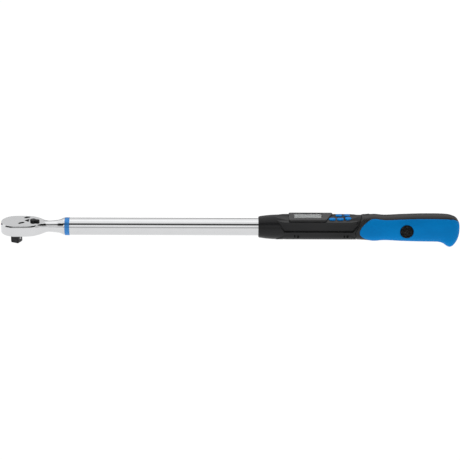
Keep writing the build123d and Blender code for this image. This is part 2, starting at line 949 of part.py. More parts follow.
def make_lower_housing(outside, hollow):
    """Lower half with the battery bay's opening and the snap slots."""
    with BuildPart() as lower:
        add(outside)
        add(hollow, mode=Mode.SUBTRACT)
        with BuildSketch(level(parting)):
            with Locations((430, 0)):
                Rectangle(200, 60)
        extrude(amount=40, mode=Mode.SUBTRACT)
        add(lower_cavity(), mode=Mode.SUBTRACT)
        with BuildSketch(level(housing_bottom - 2)):
            with Locations(((door_front + door_rear) / 2, 0)):
                Rectangle(door_rear - door_front, 2 * door_half)
        extrude(amount=9, mode=Mode.SUBTRACT)
        # screws come in from below, through counterbored posts
        with BuildSketch(level(housing_bottom - 4)):
            with Locations(post_places):
                Circle(housing_screw_radius)
        extrude(amount=parting - housing_bottom + 4, mode=Mode.SUBTRACT)
        with BuildSketch(level(housing_bottom - 4)):
            with Locations(post_places):
                Circle(2.1)
        extrude(amount=8, mode=Mode.SUBTRACT)
        # pairs of slots that free a springy tongue on each side
        with BuildSketch(side(25)):
            for x, wide in snap_slots:
                with Locations((x, snap_slot_level)):
                    RectangleRounded(wide, snap_slot_height, 0.8)
        extrude(amount=50, mode=Mode.SUBTRACT)
    save(lower, "lower_housing")


def lower_cavity():
    """Space inside the lower half, round its screw posts."""
    with BuildPart() as cavity:
        with BuildSketch(cross(cavity_front)):
            add(housing_section(housing_wall))
        extrude(amount=cavity_rear - cavity_front)
        with BuildSketch(level(housing_bottom)):
            with Locations(post_places):
                Circle(post_radius)
        extrude(amount=40, mode=Mode.SUBTRACT)
    return cavity.part


def make_battery_door():
    """Curved door in the bottom of the lower half."""
    with BuildPart() as door:
        with BuildSketch(cross(door_front + free_gap)):
            add(housing_section())
            add(housing_section(housing_wall), mode=Mode.SUBTRACT)
        extrude(amount=door_rear - door_front - 2 * free_gap)
        with BuildSketch(level(housing_bottom - 1)):
            with Locations(((door_front + door_rear) / 2, 0)):
                Rectangle(door_rear - door_front, 2 * (door_half - free_gap))
        extrude(amount=9, mode=Mode.INTERSECT)
        # thumb ribs near the door's rear
        with BuildSketch(level(housing_bottom)):
            with Locations((door_rear - 12, 0)):
                with GridLocations(2.4, 1, 4, 1):
                    Rectangle(1.2, 12)
        extrude(amount=0.5, mode=Mode.SUBTRACT)
    save(door, "battery_door")


def make_housing_screws():
    """Four pan head screws that join the halves from below."""
    head_level = housing_bottom + 4
    with BuildPart() as screws:
        with BuildSketch(level(head_level)):
            with Locations(post_places):
                Circle(housing_screw_radius)
        extrude(amount=parting - head_level + 6)
        with BuildSketch(level(head_level - 1.4)):
            with Locations(post_places):
                Circle(1.9)
        extrude(amount=1.4)
        with BuildSketch(level(head_level - 1.4)):
            with Locations(post_places):
                Rectangle(2.2, 0.5)
                Rectangle(0.5, 2.2)
        extrude(amount=0.8, mode=Mode.SUBTRACT)
    save(screws, "housing_screws")


# Display, board and keys


def make_display_bezel():
    """Raised frame with the window and a seat for its lens."""
    with BuildPart() as bezel:
        with BuildSketch(level(bezel_seat)):
            add(bezel_outline())
        extrude(amount=bezel_top - bezel_seat)
        chamfer(bezel.faces().sort_by(Axis.Z)[-1].edges(), 0.7)
        with BuildSketch(level(bezel_seat)):
            with Locations((window_x, window_y)):
                Rectangle(panel_long, panel_wide)
        extrude(amount=panel_top - bezel_seat, mode=Mode.SUBTRACT)
        with BuildSketch(level(panel_top)):
            with Locations((window_x, window_y)):
                Rectangle(window_long, window_wide)
        extrude(amount=lens_bottom - panel_top, mode=Mode.SUBTRACT)
        with BuildSketch(level(lens_bottom)):
            with Locations((window_x, window_y)):
                RectangleRounded(
                    window_long + 2 * lens_margin, window_wide + 2 * lens_margin, lens_margin
                )
        extrude(amount=3, mode=Mode.SUBTRACT)
    save(bezel, "display_bezel")


def make_display_lens():
    """Clear window in the bezel."""
    with BuildPart() as lens:
        with BuildSketch(level(lens_bottom)):
            with Locations((window_x, window_y)):
                RectangleRounded(
                    window_long + 2 * lens_margin, window_wide + 2 * lens_margin, lens_margin
                )
        extrude(amount=lens_top - lens_bottom)
    save(lens, "display_lens")


def make_lcd_panel():
    """Liquid crystal panel under the window."""
    with BuildPart() as panel:
        with BuildSketch(level(panel_bottom)):
            with Locations((window_x, window_y)):
                Rectangle(panel_long, panel_wide)
        extrude(amount=panel_top - panel_bottom)
    save(panel, "lcd_panel")


def make_zebra_strips():
    """Conductive rubber strips between the board and the panel."""
    reach = panel_wide / 2 - 1.0
    with BuildPart() as strips:
        with BuildSketch(level(board_top)):
            with Locations((window_x, window_y + reach), (window_x, window_y - reach)):
                Rectangle(panel_long - 4, 1.2)
        extrude(amount=panel_bottom - board_top)
    save(strips, "zebra_strips")


def make_circuit_board():
    """Board under the deck, with holes for its screws."""
    with BuildPart() as board:
        with BuildSketch(level(board_bottom)):
            with Locations(((board_front + board_rear) / 2, 0)):
                RectangleRounded(board_rear - board_front, 2 * board_half, 1.5)
            with Locations(board_boss_places):
                Circle(0.95, mode=Mode.SUBTRACT)
        extrude(amount=board_top - board_bottom)
    save(board, "circuit_board")


def make_board_chips():
    """The lead's connector, the processor and its crystal, and the gauge amplifier."""
    parts_on_board = [
        (lead_end + 1.5, 0, 3.0, 5.0, 2.4),
        (405.0, -1.0, 7.0, 7.0, 1.2),
        (417.0, 3.0, 5.0, 3.0, 1.0),
        (425.0, -2.0, 5.0, 4.0, 1.3),
    ]
    with BuildPart() as chips:
        for x, y, long, wide, high in parts_on_board:
            with BuildSketch(level(board_top)):
                with Locations((x, y)):
                    Rectangle(long, wide)
            extrude(amount=high)
    save(chips, "board_chips")


def make_board_screws():
    """Four screws that hold the board to the deck's bosses."""
    with BuildPart() as screws:
        with BuildSketch(level(board_bottom)):
            with Locations(board_boss_places):
                Circle(0.9)
        extrude(amount=4)
        with BuildSketch(level(board_bottom - 1.2)):
            with Locations(board_boss_places):
                Circle(1.8)
        extrude(amount=1.2)
        with BuildSketch(level(board_bottom - 1.2)):
            with Locations(board_boss_places):
                Rectangle(2.0, 0.5)
                Rectangle(0.5, 2.0)
        extrude(amount=0.6, mode=Mode.SUBTRACT)
    save(screws, "board_screws")


def make_switch_domes():
    """Snap domes on the board, one under each key."""
    with BuildPart() as domes:
        with BuildSketch(level(board_top)):
            with Locations(list(key_places.values())):
                Circle(2.4)
        extrude(amount=0.4, taper=25)
    save(domes, "switch_domes")


def key_size(name):
    """Length, width, corner radius and top of a key; the power key is nearly round."""
    if name == "power_key":
        return power_key_long, power_key_wide, power_key_corner, power_key_top
    return key_long, key_wide, key_corner, key_top


def make_key(name, place):
    """Key cap with a flange that stops it under the deck, and a stem above its dome."""
    long, wide, corner, top = key_size(name)
    with BuildPart() as key:
        with BuildSketch(level(deck_under - 0.1)):
            with Locations(place):
                RectangleRounded(long, wide, corner)
        extrude(amount=top - deck_under + 0.1)
        fillet(key.faces().sort_by(Axis.Z)[-1].edges(), 1.1)
        with BuildSketch(level(deck_under - 1.0)):
            with Locations(place):
                RectangleRounded(long + 2 * key_flange, wide + 2 * key_flange, corner)
        extrude(amount=0.9)
        with BuildSketch(level(key_stem_bottom)):
            with Locations(place):
                Circle(1.5)
        extrude(amount=deck_under - 1.0 - key_stem_bottom)
    save(key, name)


def make_buzzer():
    """Flat sounder under the board."""
    with BuildPart() as buzzer:
        with BuildSketch(level(board_bottom - 1.5)):
            with Locations((455, 0)):
                Circle(5)
        extrude(amount=1.5)
    save(buzzer, "buzzer")


# Batteries


def make_cell(name, y):
    """Small round cell with the nub of its positive pole at the rear."""
    with BuildPart() as cell:
        with BuildSketch(Plane(origin=(cell_front, y, axis_height + cell_level), z_dir=(1, 0, 0))):
            Circle(cell_radius)
        extrude(amount=cell_length)
        fillet(cell.edges(), 0.5)
        with BuildSketch(cell.faces().sort_by(Axis.X)[-1]):
            Circle(1.9)
        extrude(amount=1)
    save(cell, name)


def make_contact_springs():
    """Two springs that press on the cells' front ends."""
    with BuildPart() as springs:
        for y in (cell_y, -cell_y):
            start = Plane(origin=(cell_front - 5.3, y, axis_height + cell_level), z_dir=(1, 0, 0))
            add(coil_spring(start, 3.0, 0.25, 4.8, 3).part)
    save(springs, "contact_springs")


def make_contact_plates():
    """Sheet metal plates behind the springs and at the nubs."""
    rear = cell_front + cell_length + 1
    with BuildPart() as plates:
        for x in (cell_front - 6.3, rear):
            with BuildSketch(cross(x)):
                with Locations((0, cell_level)):
                    Rectangle(4 * cell_y, 8.6)
            extrude(amount=0.6)
    save(plates, "contact_plates")


# Grip


def grip_outside(inset=0):
    """Grip as a loft of rounded sections; an inset gives the core under the soft cover."""
    sections = []
    for x, top, bottom, half in grip_stations:
        wide = half - inset
        high = (top - bottom) / 2 - inset
        place = x - (inset if x > bar_end else 0)
        with BuildSketch(cross(place)) as section:
            with Locations((0, (top + bottom) / 2)):
                RectangleRounded(2 * wide, 2 * high, grip_roundness * min(wide, high))
        sections.append(section.sketch)
    with BuildPart() as grip:
        loft(sections, ruled=True)
    return grip.part


def beak():
    """Hooked lower rear corner of the grip."""
    with BuildPart() as hook:
        with BuildSketch(side(beak_half)):
            with BuildLine():
                FilletPolyline(
                    (592, -10),
                    (594, -18.9),
                    (606.5, -21.4),
                    (612.2, -27.6),
                    (619.4, -27.2),
                    (626.4, -8),
                    close=True,
                    radius=[4, 4, 9, 2.2, 3.2, 4],
                )
            make_face()
        extrude(amount=2 * beak_half)
        chamfer(hook.faces().filter_by(Axis.Y).edges(), 2.2)
    return hook.part


def front_line(shift):
    """Side view outline of everything behind the housing's slanted rear end."""
    with BuildSketch() as outline:
        Polygon(
            *[(x + shift, height) for x, height in rear_line],
            (rear_line[-1][0] + shift, 40),
            (660, 40),
            (660, -40),
            (rear_line[0][0] + shift, -40),
            align=None,
        )
    return outline.sketch


def make_grip():
    """Hard grip body with its top spine, and the soft cover round its sides and bottom."""
    outside = grip_outside()
    core = grip_outside(cover_skin)
    with BuildPart() as body:
        add(outside)
        # what lies under the soft cover
        with BuildSketch(side(30)):
            add(front_line(front_band))
        extrude(amount=30 - spine_half, mode=Mode.SUBTRACT)
        with BuildSketch(side(-spine_half)):
            add(front_line(front_band))
        extrude(amount=30 - spine_half, mode=Mode.SUBTRACT)
        with BuildSketch(cross(cavity_rear)):
            with Locations((0, -20)):
                Rectangle(2 * spine_half, 40)
        extrude(amount=200, mode=Mode.SUBTRACT)
        add(core)
        with BuildSketch(side(30)):
            add(front_line(0))
        extrude(amount=60, mode=Mode.INTERSECT)
        # slot for the bar, bore for the bolt and the pockets of its head and nut
        with BuildSketch(level(bar_bottom)):
            with Locations(((cavity_rear + bar_end) / 2, 0)):
                Rectangle(bar_end - cavity_rear, 2 * bar_half)
        extrude(amount=bar_top - bar_bottom, mode=Mode.SUBTRACT)
        with BuildSketch(level(tang_bottom)):
            with Locations(((tang_start + bar_end) / 2, 0)):
                Rectangle(bar_end - tang_start, 2 * bar_half)
        extrude(amount=bar_bottom - tang_bottom, mode=Mode.SUBTRACT)
        with BuildSketch(side(30)):
            with Locations((cap_x, cap_level)):
                Circle(bolt_radius)
        extrude(amount=60, mode=Mode.SUBTRACT)
        for plane in (side(-bolt_seat), side(30)):
            with BuildSketch(plane):
                with Locations((cap_x, cap_level)):
                    Circle(4.7)
            extrude(amount=30 - bolt_seat, mode=Mode.SUBTRACT)
        for plane in (side(-cap_seat), side(30)):
            with BuildSketch(plane):
                with Locations((cap_x, cap_level)):
                    Circle(cap_radius)
            extrude(amount=30 - cap_seat, mode=Mode.SUBTRACT)
    save(body, "grip_body")
    with BuildPart() as cover:
        add(outside)
        add(beak())
        with BuildSketch(side(30)):
            add(front_line(front_band))
        extrude(amount=60, mode=Mode.INTERSECT)
        add(core, mode=Mode.SUBTRACT)
        with BuildSketch(cross(cavity_rear)):
            with Locations((0, 20)):
                Rectangle(2 * spine_half, 40)
        extrude(amount=200, mode=Mode.SUBTRACT)
        with BuildSketch(side(30)):
            with Locations((cap_x, cap_level)):
                Circle(cap_radius)
        extrude(amount=60, mode=Mode.SUBTRACT)
    save(cover, "grip_cover")


def make_grip_caps():
    """Round cap over the bolt's head and another over its nut."""
    for name, start in (("grip_cap_right", -cap_seat), ("grip_cap_left", cap_face)):
        with BuildPart() as cap:
            with BuildSketch(side(start)):
                with Locations((cap_x, cap_level)):
                    Circle(cap_radius)
            extrude(amount=cap_face - cap_seat)
            outer = cap.faces().sort_by(Axis.Y)[0 if start < 0 else -1]
            chamfer(outer.edges(), 0.8)
        save(cap, name)


def make_grip_bolt():
    """Socket head bolt across the grip and the bar."""
    with BuildPart() as bolt:
        with BuildSketch(side(bolt_seat + 3.4)):
            with Locations((cap_x, cap_level)):
                Circle(bolt_radius)
        extrude(amount=2 * bolt_seat + 3.4)
        with BuildSketch(side(-bolt_seat)):
            with Locations((cap_x, cap_level)):
                Circle(bolt_head_radius)
        extrude(amount=3.5)
        with BuildSketch(side(-bolt_seat - 1.2)):
            with Locations((cap_x, cap_level)):
                RegularPolygon(2.2, 6)
        extrude(amount=4, mode=Mode.SUBTRACT)
    save(bolt, "grip_bolt")


def make_grip_nut():
    """Nut at the bolt's far end."""
    with BuildPart() as nut:
        with BuildSketch(side(bolt_seat + 3.4)):
            with Locations((cap_x, cap_level)):
                RegularPolygon(4.6, 6)
                Circle(bolt_radius, mode=Mode.SUBTRACT)
        extrude(amount=3.4)
    save(nut, "grip_nut")


make_ratchet_head()
make_head_cover()
make_cover_screws()
make_drive_gear()
make_socket_ball()
make_ball_spring()
make_pawl()
make_reverse_lever()
make_selector_plunger()
make_selector_spring()
make_lever_clip()
make_head_seals()
make_accent_ring()
make_tube()
make_cross_pin("head_pin", head_pin_x)
make_cross_pin("core_pin", core_pin_x)
make_strain_gauges()
make_gauge_cable()
make_handle_core()
make_collar_seal()
outside = housing_outside()
hollow = housing_hollow()
make_upper_housing(outside, hollow)
make_lower_housing(outside, hollow)
make_battery_door()
make_housing_screws()
make_display_bezel()
make_display_lens()
make_lcd_panel()
make_zebra_strips()
make_circuit_board()
make_board_chips()
make_board_screws()
make_switch_domes()
for name, place in key_places.items():
    make_key(name, place)
make_buzzer()
make_cell("battery_left", cell_y)
make_cell("battery_right", -cell_y)
make_contact_springs()
make_contact_plates()
make_grip()
make_grip_caps()
make_grip_bolt()
make_grip_nut()
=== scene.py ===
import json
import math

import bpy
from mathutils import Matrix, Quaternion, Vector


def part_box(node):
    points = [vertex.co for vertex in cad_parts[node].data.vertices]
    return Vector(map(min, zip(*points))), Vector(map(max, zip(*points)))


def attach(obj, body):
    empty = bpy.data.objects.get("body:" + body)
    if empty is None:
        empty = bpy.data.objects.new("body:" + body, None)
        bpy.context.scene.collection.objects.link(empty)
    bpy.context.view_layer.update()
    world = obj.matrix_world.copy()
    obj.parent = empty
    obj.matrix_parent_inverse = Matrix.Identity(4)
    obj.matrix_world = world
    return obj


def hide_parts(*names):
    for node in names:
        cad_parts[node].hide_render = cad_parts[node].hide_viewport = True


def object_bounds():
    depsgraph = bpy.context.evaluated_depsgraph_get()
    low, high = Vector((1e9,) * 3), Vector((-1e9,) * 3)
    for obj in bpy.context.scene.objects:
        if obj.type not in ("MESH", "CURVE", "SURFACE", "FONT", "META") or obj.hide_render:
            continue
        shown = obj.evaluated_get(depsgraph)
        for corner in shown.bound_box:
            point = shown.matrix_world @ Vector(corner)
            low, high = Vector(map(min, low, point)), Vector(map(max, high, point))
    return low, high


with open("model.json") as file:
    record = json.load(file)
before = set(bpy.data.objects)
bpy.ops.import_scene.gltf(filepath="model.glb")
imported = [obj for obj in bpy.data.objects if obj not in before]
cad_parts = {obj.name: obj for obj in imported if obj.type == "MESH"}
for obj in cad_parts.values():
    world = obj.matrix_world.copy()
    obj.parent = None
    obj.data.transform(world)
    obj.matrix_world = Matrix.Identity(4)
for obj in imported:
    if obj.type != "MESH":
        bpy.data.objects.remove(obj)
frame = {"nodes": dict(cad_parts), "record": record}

# %% [markdown]
# # An electronic torque wrench
#
# The wrench is a chromed ratchet head on a long chromed tube, a black housing with a display and
# five keys, and a thick grip of hard black and soft blue plastic. Its engineering model is loaded
# above as a fixed frame: every piece that has a real size is in it already. This lesson gives each
# piece its finish, and rebuilds the moulded grip, whose soft shape a drawing of flats and arcs
# can't hold.
#
# +X runs from the head to the grip and +Z is up. Everything is in metres, so lengths written in
# millimetres are multiplied by MM.

MM = 0.001
nodes = frame["nodes"]
record = frame["record"]
cad_low, cad_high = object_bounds()
print("the frame holds", len(nodes), "nodes,", round((cad_high.x - cad_low.x) / MM), "mm long")

# %% Where the main pieces lie
tube_low, tube_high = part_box("tube")
AXIS_Z = (tube_low.z + tube_high.z) / 2
cap_low, cap_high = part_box("grip_cap_right")
CAP_X = (cap_low.x + cap_high.x) / 2
CAP_Z = (cap_low.z + cap_high.z) / 2
CAP_RADIUS = (cap_high.x - cap_low.x) / 2
print("the tube's axis is", round(AXIS_Z / MM, 2), "mm above the socket's seat")

# %% [markdown]
# ## The camera
#
# A tool this long is photographed from far away with a long lens, so that both ends have the same
# scale. The camera stands level with the middle of the wrench, 22 degrees above it. A focal length
# of 145 mm on a 36 mm sensor shows 0.65 m from about 2.6 m away.

# %% Camera
CAMERA_DISTANCE = 2.625
CAMERA_LENS = 144.8
SENSOR_WIDTH = 36
FARTHEST_SEEN = 50
AIM_ALONG = 0.1 * MM
AIM_BELOW = 4.6 * MM
CAMERA_ELEVATION = math.radians(22)
CAMERA_ROLL = math.radians(0.17)


def add_camera():
    """Makes the camera, a little below the wrench's middle so that it sits just above centre."""
    camera = bpy.data.objects.new("camera", bpy.data.cameras.new("camera"))
    bpy.context.scene.collection.objects.link(camera)
    camera.data.lens = CAMERA_LENS
    camera.data.sensor_width = SENSOR_WIDTH
    camera.data.clip_end = FARTHEST_SEEN
    middle = Vector(((cad_low.x + cad_high.x) / 2 + AIM_ALONG, 0, AXIS_Z))
    up = Vector((0, math.sin(CAMERA_ELEVATION), math.cos(CAMERA_ELEVATION)))
    back = Vector((0, -math.cos(CAMERA_ELEVATION), math.sin(CAMERA_ELEVATION)))
    aim = middle - up * AIM_BELOW
    camera.location = aim + back * CAMERA_DISTANCE
    camera.rotation_mode = "QUATERNION"
    camera.rotation_quaternion = Quaternion(back, CAMERA_ROLL) @ (-back).to_track_quat("-Z", "Y")
    bpy.context.scene.camera = camera
    return camera


camera = add_camera()
print("camera at", [round(value, 3) for value in camera.location])

# %% [markdown]
# ## Shader maths
#
# Every finish here is a small network of nodes. Wiring nodes one by one hides the idea, so two
# small classes do the wiring. A Signal is one node's output, and Python's operators on it add Math
# nodes, so that a formula reads like a formula. A Sheet is one node tree, with a single method
# that adds any node: first its settings, then the values or links of its sockets.


# %% Signal and Sheet
class Signal:
    """A node's output that can be used in ordinary arithmetic."""

    def __init__(self, sheet, socket):
        self.sheet = sheet
        self.socket = socket

    def maths(self, operation, first, second):
        """Math node on two numbers or signals."""
        return self.sheet.node("ShaderNodeMath", {"operation": operation}, {0: first, 1: second})

    def __add__(self, other):
        return self.maths("ADD", self, other)

    def __radd__(self, other):
        return self.maths("ADD", other, self)

    def __sub__(self, other):
        return self.maths("SUBTRACT", self, other)

    def __rsub__(self, other):
        return self.maths("SUBTRACT", other, self)

    def __mul__(self, other):
        return self.maths("MULTIPLY", self, other)

    def __rmul__(self, other):
        return self.maths("MULTIPLY", other, self)

    def __truediv__(self, other):
        return self.maths("DIVIDE", self, other)


def lay_stops(ramp, stops):
    """Fills a colour ramp with (place, brightness or colour) stops."""
    for number, (place, colour) in enumerate(stops):
        element = ramp.elements[number] if number < 2 else ramp.elements.new(place)
        element.position = place
        element.color = colour if isinstance(colour, tuple) else (colour, colour, colour, 1)


class Sheet:
    """One node tree, and the one way in which nodes get into it."""

    def __init__(self, tree):
        self.tree = tree

    def node(self, kind, settings=None, values=None, output=0):
        """Adds a node: its settings first, then its sockets' values or links."""
        made = self.tree.nodes.new(kind)
        for name, setting in (settings or {}).items():
            if name == "stops":
                lay_stops(made.color_ramp, setting)
            else:
                setattr(made, name, setting)
        for name, value in (values or {}).items():
            self.plug(made.inputs[name], value)
        return Signal(self, made.outputs[output])

    def plug(self, socket, value):
        """Links a signal to a socket, or writes a plain value on it."""
        if isinstance(value, Signal):
            self.tree.links.new(value.socket, socket)
        else:
            socket.default_value = value

    def between(self, value, low, high, out_low=0.0, out_high=1.0):
        """Share of the way from low to high, clamped and eased, as a value in another range."""
        settings = {"interpolation_type": "SMOOTHSTEP"}
        values = {"Value": value, "From Min": low, "From Max": high}
        values.update({"To Min": out_low, "To Max": out_high})
        return self.node("ShaderNodeMapRange", settings, values)


print("shader helpers ready")

# %% [markdown]
# ## Light
#
# Chrome has no colour of its own: it shows the room. A product studio is a white tent with a
# few dark gaps, and those gaps draw the crisp dark line along a polished tube. Here the tent is
# the world's background. Its brightness depends mostly on the angle round the X axis, so the lines
# run straight along the wrench. A dark gap near each end shows only in surfaces that flare or turn
# towards it, such as the neck. Two weak soft lamps give the plastics their glints.

# %% Studio tent
TENT_STRENGTH = 1.4
GAP_ENDS = (0.34, 0.50)  # share of the way to the tent's ends where the gaps begin
GAP_BOTTOM = (26, 34)  # degrees over which they darken, and fade again above
GAP_TOP = (72, 84)
GAP_DARKNESS = 0.96


def tent_stops():
    """Brightness of the tent by angle: 0 is level in front, 90 is overhead, 180 is behind."""
    by_angle = [
        (-180, 0.10),
        (-90, 0.80),
        (-12, 0.85),
        (2, 0.62),
        (16, 0.60),
        (21, 0.98),
        (33, 1.00),
        (39, 0.50),
        (44, 0.05),
        (56, 0.02),
        (61, 0.40),
        (68, 1.15),
        (140, 1.16),
        (150, 0.95),
        (159, 0.84),
        (165, 0.08),
        (180, 0.06),
    ]
    return [((angle + 180) / 360, light / TENT_STRENGTH) for angle, light in by_angle]


def add_tent():
    """World background made of the tent's brightness round the X axis."""
    world = bpy.data.worlds.new("studio_tent")
    bpy.context.scene.world = world
    world.use_nodes = True
    sheet = Sheet(world.node_tree)
    place = sheet.node("ShaderNodeTexCoord", output="Generated")
    height = sheet.node("ShaderNodeSeparateXYZ", values={0: place}, output="Z")
    depth = sheet.node("ShaderNodeSeparateXYZ", values={0: place}, output="Y")
    turn = height.maths("ARCTAN2", height, depth * -1.0)
    share = turn / (2 * math.pi) + 0.5
    tent = sheet.node("ShaderNodeValToRGB", {"stops": tent_stops()}, {0: share})
    # dark gaps at the tent's two ends, at the height of its front seam
    along = sheet.node("ShaderNodeSeparateXYZ", values={0: place}, output="X")
    end = sheet.between(along.maths("ABSOLUTE", along, 0), *GAP_ENDS)
    above = sheet.between(turn, *[math.radians(angle) for angle in GAP_BOTTOM])
    below = sheet.between(turn, *[math.radians(angle) for angle in GAP_TOP], 1.0, 0.0)
    tent = tent * (1 - GAP_DARKNESS * end * above * below)
    background = world.node_tree.nodes["Background"]
    sheet.plug(background.inputs["Color"], tent)
    background.inputs["Strength"].default_value = TENT_STRENGTH


add_tent()
bpy.context.scene.view_settings.view_transform = "Standard"
print("the tent has", len(tent_stops()), "stops")


# %% Lamps
def add_lamp(name, place, aim, size, power):
    """Soft rectangular lamp that looks at a point."""
    lamp = bpy.data.objects.new(name, bpy.data.lights.new(name, "AREA"))
    bpy.context.scene.collection.objects.link(lamp)
    lamp.data.shape = "RECTANGLE"
    lamp.data.size, lamp.data.size_y = size
    lamp.data.energy = power
    lamp.location = place
    lamp.rotation_mode = "QUATERNION"
    lamp.rotation_quaternion = (Vector(aim) - Vector(place)).to_track_quat("-Z", "Y")
    return lamp


centre = (cad_low + cad_high) / 2
add_lamp("overhead_lamp", centre + Vector((0, 0.35, 1.5)), centre, (1.6, 0.5), 0.8)
add_lamp("front_lamp", centre + Vector((-0.5, -1.7, 0.9)), centre, (1.2, 0.5), 0.5)
print("lamps placed above and in front")


# %% [markdown]
# ## Finishes
#
# A finish is a Principled shader plus what makes the real surface readable up close: fine scratches
# and haze on chrome, the leather-like spark-erosion grain of moulded plastic, the chalky skin of
# soft-touch rubber. Numbers that hold for the whole surface go straight on the shader's sockets.
# Only what changes from place to place goes through nodes, into colour, roughness and normal.
#
# Edges on the engineering model are perfectly sharp. The Bevel node rounds only their shading, so
# each edge catches a thin line of light as a moulded or machined edge does.


# %% Finish
class Finish(Sheet):
    """A material on one Principled shader, with its textures laid out in metres."""

    def __init__(self, name, colour, roughness, metallic=0.0, constants=None):
        self.material = bpy.data.materials.new(name)
        self.material.use_nodes = True
        super().__init__(self.material.node_tree)
        self.shader = self.tree.nodes["Principled BSDF"]
        self.plug(self.shader.inputs["Base Color"], (*colour, 1))
        self.plug(self.shader.inputs["Roughness"], roughness)
        self.plug(self.shader.inputs["Metallic"], metallic)
        for socket, value in (constants or {}).items():
            self.plug(self.shader.inputs[socket], value)
        self.place = self.node("ShaderNodeTexCoord", output="Object")
        print("finish", name)

    def feed(self, socket, signal):
        """Links what varies into one of the shader's sockets."""
        self.plug(self.shader.inputs[socket], signal)

    def along(self, axis):
        """Distance along X, Y or Z, in metres."""
        return self.node("ShaderNodeSeparateXYZ", values={0: self.place}, output=axis)

    def stretched(self, stretch):
        """The surface's own coordinates, squeezed so that a texture gets longer one way."""
        values = {0: self.place, 1: stretch}
        return self.node("ShaderNodeVectorMath", {"operation": "MULTIPLY"}, values)

    def noise(self, scale, detail=2.0, stretch=(1, 1, 1)):
        """Cloudy noise with features of about 1/scale metres."""
        values = {"Vector": self.stretched(stretch), "Scale": scale, "Detail": detail}
        return self.node("ShaderNodeTexNoise", {"noise_dimensions": "3D"}, values)

    def cells(self, scale, feature="F1"):
        """Rounded cells of about 1/scale metres, 0 at their middles."""
        values = {"Vector": self.place, "Scale": scale}
        return self.node("ShaderNodeTexVoronoi", {"feature": feature}, values, "Distance")

    def tint(self, low, high, share):
        """Colour between two, as a signal."""
        values = {0: share, 6: (*low, 1), 7: (*high, 1)}
        return self.node("ShaderNodeMix", {"data_type": "RGBA"}, values, 2)

    def relief(self, height, depth, edge=0.0):
        """Bump of a depth in metres, on edges that are rounded by a radius in metres."""
        values = {"Height": height, "Distance": depth, "Strength": 1.0}
        if edge:
            values["Normal"] = self.node("ShaderNodeBevel", {"samples": 4}, {"Radius": edge})
        self.feed("Normal", self.node("ShaderNodeBump", None, values))


finishes = {}

# %% [markdown]
# ### Metals
#
# Chrome plate is mirror bright, but a used tool has hairline scratches along the way it is
# wiped and a faint haze of handling, so its roughness drifts. Black oxide is a thin
# conversion layer on steel, darker and rougher. The ring is anodised aluminium, turned on a lathe,
# so its fine grooves run round the tube's axis.


# %% Chrome plate
def chrome_plate():
    """Polished chrome with haze and hairline scratches."""
    chrome = Finish("chrome_plate", (0.64, 0.645, 0.655), 0.07, 1.0)
    haze = chrome.noise(55, 4)
    hairs = chrome.noise(2600, 2, (0.02, 1, 1))
    scratch = chrome.between(hairs, 0.60, 0.72)
    chrome.feed("Roughness", 0.05 + haze * 0.05 + scratch * 0.10)
    chrome.feed("Base Color", chrome.tint((0.62, 0.625, 0.635), (0.67, 0.672, 0.68), haze))
    chrome.relief(scratch, -0.8e-6, 0.5 * MM)
    return chrome.material


finishes["chrome_steel"] = chrome_plate()


# %% Other metals
def dark_metal(name, colour, bright, roughness, metallic):
    """Black oxide steel: cloudy colour and a fine blasted skin."""
    steel = Finish(name, colour, roughness, metallic, {"Specular IOR Level": 0.35})
    cloud = steel.noise(320, 4)
    grit = steel.noise(5200, 2)
    steel.feed("Base Color", steel.tint(colour, bright, steel.between(cloud, 0.35, 0.75)))
    steel.feed("Roughness", roughness + cloud * 0.15)
    steel.relief(grit, 6e-6, 0.4 * MM)
    return steel.material


def bright_metal(name, colour, dull, roughness, lines):
    """Plated or turned metal with fine lines that run round or along one axis."""
    metal = Finish(name, colour, roughness, 1.0)
    cloud = metal.noise(260, 3)
    grooves = metal.noise(3000, 2, lines)
    metal.feed("Base Color", metal.tint(dull, colour, cloud))
    metal.feed("Roughness", roughness + grooves * 0.15)
    metal.relief(grooves, 3e-6, 0.2 * MM)
    return metal.material


BLACK_OXIDE = ((0.010, 0.010, 0.011), (0.03, 0.03, 0.032))
finishes["black_steel"] = dark_metal("black_oxide", *BLACK_OXIDE, 0.30, 0.5)
NO_LINES = (1, 1, 1)
ZINC = ((0.56, 0.56, 0.55), (0.46, 0.46, 0.46))
finishes["plain_steel"] = bright_metal("zinc_plate", *ZINC, 0.24, NO_LINES)
WIRE = ((0.42, 0.42, 0.43), (0.30, 0.30, 0.31))
finishes["spring_steel"] = bright_metal("spring_wire", *WIRE, 0.28, NO_LINES)
BRASS = ((0.66, 0.58, 0.38), (0.55, 0.45, 0.26))
finishes["contact_brass"] = bright_metal("nickel_brass", *BRASS, 0.28, NO_LINES)


def anodised_ring():
    """Blue anodised aluminium with turning grooves round the tube's axis."""
    ring = Finish("blue_anodised", (0.03, 0.22, 0.60), 0.30, 0.55, {"Specular IOR Level": 0.4})
    grooves = ring.noise(2400, 1, (1, 0.01, 0.01))
    cloud = ring.noise(300, 2)
    ring.feed("Base Color", ring.tint((0.035, 0.20, 0.54), (0.05, 0.26, 0.64), cloud))
    ring.feed("Roughness", 0.24 + grooves * 0.15)
    ring.relief(grooves, 5e-6, 0.3 * MM)
    return ring.material


finishes["blue_aluminium"] = anodised_ring()

# %% [markdown]
# ### Plastics and rubber
#
# Mould makers etch a grain into the steel so that plastic doesn't look wet. It is a field of soft
# bumps a third of a millimetre apart. The same recipe, with other colours, depths and roughness,
# serves the housing, the grip's hard body, its soft cover and the keys.


